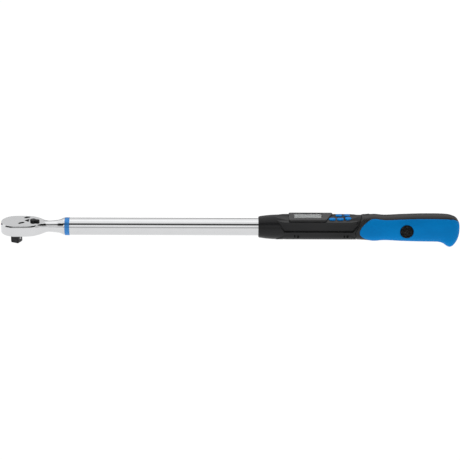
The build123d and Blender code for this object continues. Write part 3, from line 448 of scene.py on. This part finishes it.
# %% Moulded plastics
def moulded(name, dark, light, roughness, grain=3000, depth=9e-6, shine=0.3, edge=0.35, coat=0.0):
    """Moulded plastic: etched grain, slight flow marks in its colour, worn shine."""
    constants = {"Specular IOR Level": shine, "Coat Weight": coat, "Coat Roughness": 0.12}
    plastic = Finish(name, light, roughness, 0.0, constants)
    flow = plastic.noise(45, 3, (0.35, 1, 1))
    skin = plastic.cells(grain)
    plastic.feed("Base Color", plastic.tint(dark, light, plastic.between(flow, 0.3, 0.7)))
    plastic.feed("Roughness", roughness + (flow - 0.5) * 0.16)
    plastic.relief(skin, depth, edge * MM)
    return plastic.material


JET = (0.010, 0.010, 0.011)
COAL = (0.017, 0.017, 0.018)
finishes["housing_plastic"] = moulded("housing_black", JET, COAL, 0.30, 3000, 6e-6, 0.22)
finishes["bezel_plastic"] = moulded("bezel_black", JET, COAL, 0.22, 4200, 3e-6, 0.4)
finishes["grip_black"] = moulded("grip_shell", JET, COAL, 0.30, 2600, 8e-6, 0.26)
finishes["seal_rubber"] = moulded("seal_skin", JET, COAL, 0.75, 3400, 8e-6, 0.2)
KEY_BLUE = ((0.0, 0.22, 0.66), (0.0, 0.26, 0.74))
finishes["key_blue"] = moulded("key_gloss", *KEY_BLUE, 0.30, 5000, 1e-6, 0.08, 0.9, 0.03)
COVER_BLUE = ((0.0, 0.19, 0.53), (0.0, 0.22, 0.60))
finishes["grip_blue"] = moulded("soft_touch", *COVER_BLUE, 0.60, 2200, 10e-6, 0.06)
CHIP_GREY = (0.022, 0.022, 0.022)
finishes["chip_black"] = moulded("chip_epoxy", COAL, CHIP_GREY, 0.55, 5200, 3e-6)
LEAD_GREY = ((0.16, 0.16, 0.17), (0.22, 0.22, 0.23))
finishes["lead_grey"] = moulded("lead_jacket", *LEAD_GREY, 0.55, 3000, 4e-6)


def speckled_cap():
    """Cap with a coarse spark-eroded face."""
    cap = Finish("cap_sparked", (0.02, 0.02, 0.021), 0.8, 0.0, {"Specular IOR Level": 0.08})
    pits = cap.cells(900)
    crumbs = cap.noise(1100, 3)
    rough = cap.between(pits, 0.15, 0.75)
    speck = cap.between(crumbs, 0.48, 0.66) * rough
    cap.feed("Base Color", cap.tint((0.003, 0.003, 0.003), (0.06, 0.06, 0.06), speck))
    cap.feed("Roughness", 0.65 + crumbs * 0.3)
    cap.relief(crumbs + rough, 0.12 * MM, 0.3 * MM)
    return cap.material


finishes["cap_black"] = speckled_cap()

# %% [markdown]
# ### The display
#
# A liquid crystal display that is off shows its grey-green polariser. Its grey is painted a little
# brighter towards the back and the grip: a painted pool of the tent's light that falls through the
# window. The window is clear acrylic.


# %% Display
def screen():
    """Idle display: grey, with painted light that brightens it towards the back and the grip."""
    panel = Finish("display_grey", (0.4, 0.41, 0.41), 0.35)
    low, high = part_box("lcd_panel")
    # painted light: the grey brightens towards the back and the grip, as where the tent's light
    # falls
    across = panel.between(panel.along("X"), low.x, high.x)
    deep = panel.between(panel.along("Y"), low.y, high.y)
    share = across * 0.35 + deep * 0.65
    cloud = panel.noise(90, 2)
    panel.feed("Base Color", panel.tint((0.26, 0.27, 0.27), (0.50, 0.51, 0.51), share))
    panel.feed("Roughness", 0.3 + cloud * 0.1)
    return panel.material


def window():
    """Clear acrylic with faint wipe marks."""
    constants = {"Transmission Weight": 1.0, "IOR": 1.45}
    lens = Finish("window_clear", (0.93, 0.95, 0.95), 0.03, 0.0, constants)
    wipe = lens.noise(240, 3, (0.2, 1, 1))
    lens.feed("Roughness", 0.02 + wipe * 0.03)
    return lens.material


finishes["lcd_grey"] = screen()
finishes["lens_clear"] = window()

# %% [markdown]
# ### What is inside
#
# The board, the gauges and the cells only show when the housing is opened, yet each gets its own
# finish: green solder mask over a weave of glass, amber foil gauges, and a printed cell jacket.


# %% Inner finishes
def solder_mask():
    """Green solder mask with the glass weave and copper showing faintly through."""
    board = Finish("solder_mask", (0.01, 0.12, 0.05), 0.35, 0.0, {"Coat Weight": 0.3})
    weave = board.cells(1400, "DISTANCE_TO_EDGE")
    copper = board.between(board.noise(420, 1), 0.5, 0.54)
    board.feed("Base Color", board.tint((0.008, 0.10, 0.04), (0.03, 0.20, 0.08), copper))
    board.relief(weave + copper, 8e-6, 0.15 * MM)
    return board.material


def gauge_foil():
    """Amber polyimide with the fine grid of its foil."""
    foil = Finish("gauge_foil", (0.42, 0.18, 0.05), 0.35)
    share = foil.along("Z") * 3400
    comb = foil.between(share.maths("FRACT", share, 0), 0.45, 0.55)
    foil.feed("Base Color", foil.tint((0.42, 0.18, 0.05), (0.55, 0.36, 0.20), comb))
    foil.relief(comb, 5e-6)
    return foil.material


def cell_jacket():
    """Shrink sleeve of a round cell: black with a copper-coloured positive end."""
    sleeve = Finish("cell_sleeve", (0.02, 0.02, 0.02), 0.35, 0.2, {"Coat Weight": 0.4})
    low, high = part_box("battery_left")
    split = high.x - 0.28 * (high.x - low.x)
    end = sleeve.between(sleeve.along("X"), split, split + 0.3 * MM)
    cloud = sleeve.noise(400, 2)
    sleeve.feed("Base Color", sleeve.tint((0.02, 0.02, 0.022), (0.60, 0.32, 0.12), end))
    sleeve.relief(cloud, 6e-6, 0.3 * MM)
    return sleeve.material


finishes["board_green"] = solder_mask()
finishes["foil_brown"] = gauge_foil()
finishes["cell_jacket"] = cell_jacket()


# %% Dress every node of the frame
def dress(piece, slot):
    """Gives a piece the finish of a slot of the record."""
    piece.data.materials.clear()
    piece.data.materials.append(finishes[slot])


for entry in record["subparts"]:
    dress(nodes[entry["node"]], entry["material_slot"])
print(len(record["subparts"]), "nodes dressed in", len(finishes), "finishes")

# %% [markdown]
# ## The grip
#
# The grip is two mouldings: a hard black body whose spine shows along the top, and a soft blue
# cover that wraps its sides and bottom and runs out in a hook at the rear. Both follow one
# smooth skin. That skin is a row of stations, each with its top, bottom and half width, joined by
# smooth curves, and every cross section is a superellipse, which is a circle pressed squarer.
#
# The line where blue meets black is a function on that skin: its distance inwards. Near the line
# the cover rolls over and dips below the body, and the body dips below the cover, so the two
# skins meet in a clean groove.

# %% The skin's stations
GRIP_SQUARENESS = 2.4
# along the wrench, top, bottom, half width, in millimetres from the tube's axis
GRIP_STATIONS = [
    (462.0, 17.0, -16.5, 17.0),
    (479.0, 17.1, -16.8, 17.2),
    (494.0, 17.4, -17.3, 17.4),
    (507.5, 18.5, -18.4, 17.7),
    (522.0, 17.4, -17.4, 17.1),
    (545.0, 18.5, -18.5, 17.3),
    (570.0, 19.5, -19.3, 17.5),
    (592.0, 19.7, -19.6, 17.5),
    (600.0, 19.6, -20.1, 17.4),
    (606.0, 19.4, -22.2, 17.2),
    (611.0, 19.1, -26.0, 16.9),
    (615.0, 18.4, -27.8, 16.3),
    (618.6, 17.2, -26.8, 15.4),
    (622.0, 15.8, -23.4, 13.9),
    (625.0, 13.2, -18.6, 11.8),
    (627.2, 9.2, -12.6, 8.6),
    (628.3, 4.6, -6.8, 4.6),
    (628.4, -0.4, -1.4, 0.4),
]


def station_lengths():
    """Running length along the stations, which serves as the skin's long coordinate."""
    lengths = [0.0]
    for before, after in zip(GRIP_STATIONS, GRIP_STATIONS[1:]):
        lengths.append(lengths[-1] + math.dist(before[:2], after[:2]))
    return lengths


STATION_LENGTHS = station_lengths()


def slope(column, number):
    """Steepness of a column at a station, from its neighbours."""
    low = max(number - 1, 0)
    high = min(number + 1, len(GRIP_STATIONS) - 1)
    rise = GRIP_STATIONS[high][column] - GRIP_STATIONS[low][column]
    return rise / (STATION_LENGTHS[high] - STATION_LENGTHS[low])


def station_at(length):
    """Place, top, bottom and half width at a running length, on smooth curves."""
    last = len(GRIP_STATIONS) - 2
    number = 0
    while number < last and STATION_LENGTHS[number + 1] < length:
        number += 1
    span = STATION_LENGTHS[number + 1] - STATION_LENGTHS[number]
    t = min(max((length - STATION_LENGTHS[number]) / span, 0.0), 1.0)
    here = []
    for column in range(4):
        start = GRIP_STATIONS[number][column]
        end = GRIP_STATIONS[number + 1][column]
        leave = slope(column, number) * span
        arrive = slope(column, number + 1) * span
        curve = (2 * t**3 - 3 * t**2 + 1) * start + (t**3 - 2 * t**2 + t) * leave
        here.append(curve + (3 * t**2 - 2 * t**3) * end + (t**3 - t**2) * arrive)
    return here


print("the grip's skin is", round(STATION_LENGTHS[-1]), "mm long")

# %% Points of the skin
GRIP_ROUND = 208
GRIP_STEP = 0.5
FRONT_REACH = 60.0
# the housing's rear end is slanted one way below its knee and the other way above
KNEE_X = 480.5
KNEE_HEIGHT = -2
SLANT_BELOW = 3.7 / 28
SLANT_ABOVE = 9.5 / 21


def front_at(height):
    """Where the housing's slanted rear end leaves off, at a height."""
    above = height - KNEE_HEIGHT
    if above < 0:
        return KNEE_X - above * SLANT_BELOW
    return KNEE_X + above * SLANT_ABOVE


def section_point(station, angle):
    """Point of a superellipse section."""
    along, top, bottom, half = station
    power = 2 / GRIP_SQUARENESS
    across = half * math.copysign(abs(math.cos(angle)) ** power, math.cos(angle))
    rise = (top - bottom) / 2 * math.copysign(abs(math.sin(angle)) ** power, math.sin(angle))
    return Vector((along, across, (top + bottom) / 2 + rise))


def skin_rows():
    """Grid of points: rows along the wrench, each a closed round, starting at the slanted front."""
    start = STATION_LENGTHS[1]
    front_station = station_at(start)
    count = int((STATION_LENGTHS[-1] - start) / GRIP_STEP)
    rows = []
    for step in range(count + 1):
        length = (STATION_LENGTHS[-1] - start) * step / count
        row = []
        for turn in range(GRIP_ROUND):
            angle = 2 * math.pi * (turn + 0.5) / GRIP_ROUND
            height = section_point(front_station, angle).z
            shift = (front_at(height) - front_station[0]) * max(0, 1 - length / FRONT_REACH)
            row.append(section_point(station_at(start + length + shift), angle))
        rows.append(row)
    return rows


def skin_normals(rows):
    """Outward directions of the skin, from each point's neighbours."""
    normals = []
    for number, row in enumerate(rows):
        before = rows[max(number - 1, 0)]
        after = rows[min(number + 1, len(rows) - 1)]
        line = []
        for turn in range(GRIP_ROUND):
            along = after[turn] - before[turn]
            around = row[(turn + 1) % GRIP_ROUND] - row[turn - 1]
            line.append(around.cross(along).normalized())
        normals.append(line)
    return normals


grip_rows = skin_rows()
grip_normals = skin_normals(grip_rows)
print(len(grip_rows), "rows of", GRIP_ROUND, "points")

# %% The colour line
# half width of the black spine along the wrench, in millimetres
SPINE = [
    (480, 7.2),
    (502, 8.8),
    (509, 9.4),
    (517, 10.0),
    (526, 10.4),
    (602, 10.6),
    (613, 9.8),
    (621, 7.6),
    (629, 4.0),
]


def spine_half(along):
    """Half width of the spine at a place."""
    for (low, start), (high, end) in zip(SPINE, SPINE[1:]):
        if along <= high:
            share = max(0.0, (along - low) / (high - low))
            return start + (end - start) * share * share * (3 - 2 * share)
    return SPINE[-1][1]


NOSE_X = 486.6


def cover_front(height):
    """Where the cover starts: a blunt nose, level with the knee of the housing's rear end."""
    above = height - KNEE_HEIGHT
    if above > 0:
        return NOSE_X + 0.045 * above**2
    return NOSE_X + 0.058 * above**2 - 0.0011 * above**3


SHOULDER_HEIGHT = 9.5  # below it, a point is always clear of the spine
LINE_ROUNDING = 2.2


def inwards(point):
    """Distance from the colour line, positive under the cover."""
    below_shoulder = max(0.0, SHOULDER_HEIGHT - point.z)
    from_spine = abs(point.y) - spine_half(point.x) + 2.5 * below_shoulder
    from_nose = 0.8 * (point.x - cover_front(point.z))
    low = min(from_spine, from_nose)
    if max(from_spine, from_nose) - low > 8 * LINE_ROUNDING:
        return low
    total = math.exp((low - from_spine) / LINE_ROUNDING)
    total += math.exp((low - from_nose) / LINE_ROUNDING)
    return low - LINE_ROUNDING * math.log(total)


print("the spine is", 2 * spine_half(560), "mm wide over the middle")


# %% Heights of the two mouldings over the skin
def eased(value, low, high):
    """0 below low, 1 above high, smooth between."""
    share = min(max((value - low) / (high - low), 0.0), 1.0)
    return share * share * (3 - 2 * share)


def dent(value, width):
    """Rounded dent, 1 at its middle."""
    return math.exp(-((value / width) ** 2))


def around_cap(point):
    """1 under the round cap at the grip's side, falling to 0 just outside its rim."""
    if abs(point.y) < 12:
        return 0.0
    reach = math.hypot(point.x - CAP_X / MM, point.z - (CAP_Z - AXIS_Z) / MM)
    return 1 - eased(reach, CAP_RADIUS / MM + 0.1, CAP_RADIUS / MM + 0.8)


RIB_PLACES = (2.6, 5.3, 8.0)  # ahead of the cover, in millimetres
RIB_WIDTH = 0.7
RIB_HEIGHT = 0.8
GROOVE_DEPTH = 0.35
HIDDEN_DEPTH = 1.3


def body_height(point, inside):
    """The hard body: its ribs ahead of the cover, the groove at the line, and its hidden part."""
    behind = point.x - front_at(point.z)
    ahead = cover_front(point.z) - point.x
    ribs = sum(dent(ahead - place, RIB_WIDTH) for place in RIB_PLACES)
    ribs *= eased(point.z, -3, 2) * eased(abs(point.y), 4, 9) * eased(behind, 0.8, 1.8)
    front_roll = -0.9 * (1 - eased(behind, 0.0, 1.1)) ** 2
    groove = GROOVE_DEPTH * dent(inside + 0.3, 0.5)
    hidden = HIDDEN_DEPTH * eased(inside, -0.1, 1.2)
    return front_roll + RIB_HEIGHT * ribs - groove - hidden


COVER_PROUD = 0.28
EDGE_DIP = 1.9
CAP_DIP = 1.1


def cover_height(point, inside):
    """The soft cover: proud of the skin, rolled over at its edge, and sunk under the cap."""
    roll = 1 - eased(inside, -0.9, 1.1)
    return COVER_PROUD - EDGE_DIP * roll**2 - CAP_DIP * around_cap(point)


print("a cover's edge sinks", round(-cover_height(Vector((560, 0, 19)), -1), 2), "mm")


# %% Build the mouldings
def moulding(name, height_of, keeps, slot, node):
    """Mesh of one moulding, from the part of the skin that it keeps."""
    inside = [[inwards(point) for point in row] for row in grip_rows]
    lift = Vector((0, 0, AXIS_Z))
    points = []
    for row, normals, depths in zip(grip_rows, grip_normals, inside):
        size = min(1.0, max(abs(row[GRIP_ROUND // 4].z - row[3 * GRIP_ROUND // 4].z) / 12, 0.05))
        for point, normal, depth in zip(row, normals, depths):
            raised = point + normal * height_of(point, depth) * size
            points.append(raised * MM + lift)
    faces = []
    for number in range(len(grip_rows) - 1):
        for turn in range(GRIP_ROUND):
            beside = (turn + 1) % GRIP_ROUND
            if keeps(inside[number][turn]) or keeps(inside[number + 1][beside]):
                low, high = number * GRIP_ROUND, (number + 1) * GRIP_ROUND
                faces.append((low + turn, low + beside, high + beside, high + turn))
    end = (len(grip_rows) - 1) * GRIP_ROUND
    faces.append([end + turn for turn in range(GRIP_ROUND)])
    used = sorted({corner for face in faces for corner in face})
    place = {old: new for new, old in enumerate(used)}
    mesh = bpy.data.meshes.new(name)
    kept_points = [points[old] for old in used]
    kept_faces = [[place[corner] for corner in face] for face in faces]
    mesh.from_pydata(kept_points, [], kept_faces)
    mesh.shade_smooth()
    piece = bpy.data.objects.new(name, mesh)
    bpy.context.scene.collection.objects.link(piece)
    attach(piece, "wrench")
    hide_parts(node)
    dress(piece, slot)
    print(name, "has", len(faces), "faces")
    return piece


moulding("grip_shell", body_height, lambda inside: inside < 2.5, "grip_black", "grip_body")
moulding("grip_soft_cover", cover_height, lambda inside: inside > -1.2, "grip_blue", "grip_cover")

# %% [markdown]
# ## Direction marks
#
# Two strokes and a pointer on top of the head show which way the drive holds. On the real head they
# are shallow. Here they are thin dark inlays that stand 0.03 mm proud, and their dark is partly the
# marks' own and partly painted shade and reflection of the head's top.

# %% Dark marks, partly painted shade
HEAD_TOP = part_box("lever_seal")[1].z + 0.1 * MM
MARK_SUNK = 0.2 * MM
MARK_PROUD = 0.03 * MM
MARKS = {
    "pointer_mark": [(12.0, 2.8), (18.2, 9.8), (18.2, -2.6)],
    "upper_stroke": [(10, 13), (12.6, 10.8), (19, 14), (18.4, 17.2), (14.2, 18), (11.6, 16.4)],
    "lower_stroke": [(3.8, -8.4), (5.4, -10.8), (12.2, -7), (12.8, -3.4), (9.4, -2.4), (5.6, -4.6)],
}


def mark_and_shade_paint():
    """Dark paint of the marks: partly their own dark, partly painted shade and reflection."""
    paint = Finish("mark_and_shade_material", (0.01, 0.01, 0.011), 0.6, 0.0, {"Specular IOR Level": 0.05})
    cloud = paint.noise(900, 3)
    paint.feed("Base Color", paint.tint((0.006, 0.006, 0.007), (0.02, 0.02, 0.021), cloud))
    paint.relief(cloud, 10e-6, 0.2 * MM)
    return paint.material


def add_mark(name, outline, material):
    """Thin flat inlay with a bevelled rim."""
    low = [Vector((x * MM, y * MM, HEAD_TOP - MARK_SUNK)) for x, y in outline]
    high = [point + Vector((0, 0, MARK_SUNK + MARK_PROUD)) for point in low]
    count = len(outline)
    faces = [list(range(count))[::-1], [count + number for number in range(count)]]
    for number in range(count):
        beside = (number + 1) % count
        faces.append([number, beside, count + beside, count + number])
    mesh = bpy.data.meshes.new(name)
    mesh.from_pydata(low + high, [], faces)
    mesh.materials.append(material)
    piece = bpy.data.objects.new(name, mesh)
    bpy.context.scene.collection.objects.link(piece)
    bevel = piece.modifiers.new("rim", "BEVEL")
    bevel.width = 0.15 * MM
    bevel.segments = 2
    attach(piece, "wrench")


# the marks' dark is partly painted shade and reflection on the head's top
mark_and_shade_material = mark_and_shade_paint()
for mark, outline in MARKS.items():
    add_mark(mark, outline, mark_and_shade_material)
print(len(MARKS), "marks at", round(HEAD_TOP / MM, 2), "mm")

# %% [markdown]
# ## Floor
#
# The floor is a plain white sheet. It touches the lowest point of what is shown, which is the tip
# of the grip's hook, so it is laid last. Its own glow keeps it evenly white.

# %% Floor
def add_floor():
    """Plain white floor under the lowest point of the wrench."""
    reach = 8.0
    mesh = bpy.data.meshes.new("floor")
    corners = [(-reach, -reach), (reach, -reach), (reach, reach), (-reach, reach)]
    mesh.from_pydata([(x, y, floor_level) for x, y in corners], [], [(0, 1, 2, 3)])
    floor = bpy.data.objects.new("floor", mesh)
    bpy.context.scene.collection.objects.link(floor)
    paper = bpy.data.materials.new("floor_paper")
    paper.use_nodes = True
    shader = paper.node_tree.nodes["Principled BSDF"]
    shader.inputs["Base Color"].default_value = (0.04, 0.04, 0.04, 1)
    shader.inputs["Roughness"].default_value = 0.9
    shader.inputs["Specular IOR Level"].default_value = 0.1
    shader.inputs["Emission Color"].default_value = (1, 1, 1, 1)
    shader.inputs["Emission Strength"].default_value = 1.0
    mesh.materials.append(paper)


floor_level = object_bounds()[0].z
add_floor()
print("floor at", round(floor_level / MM, 1), "mm")
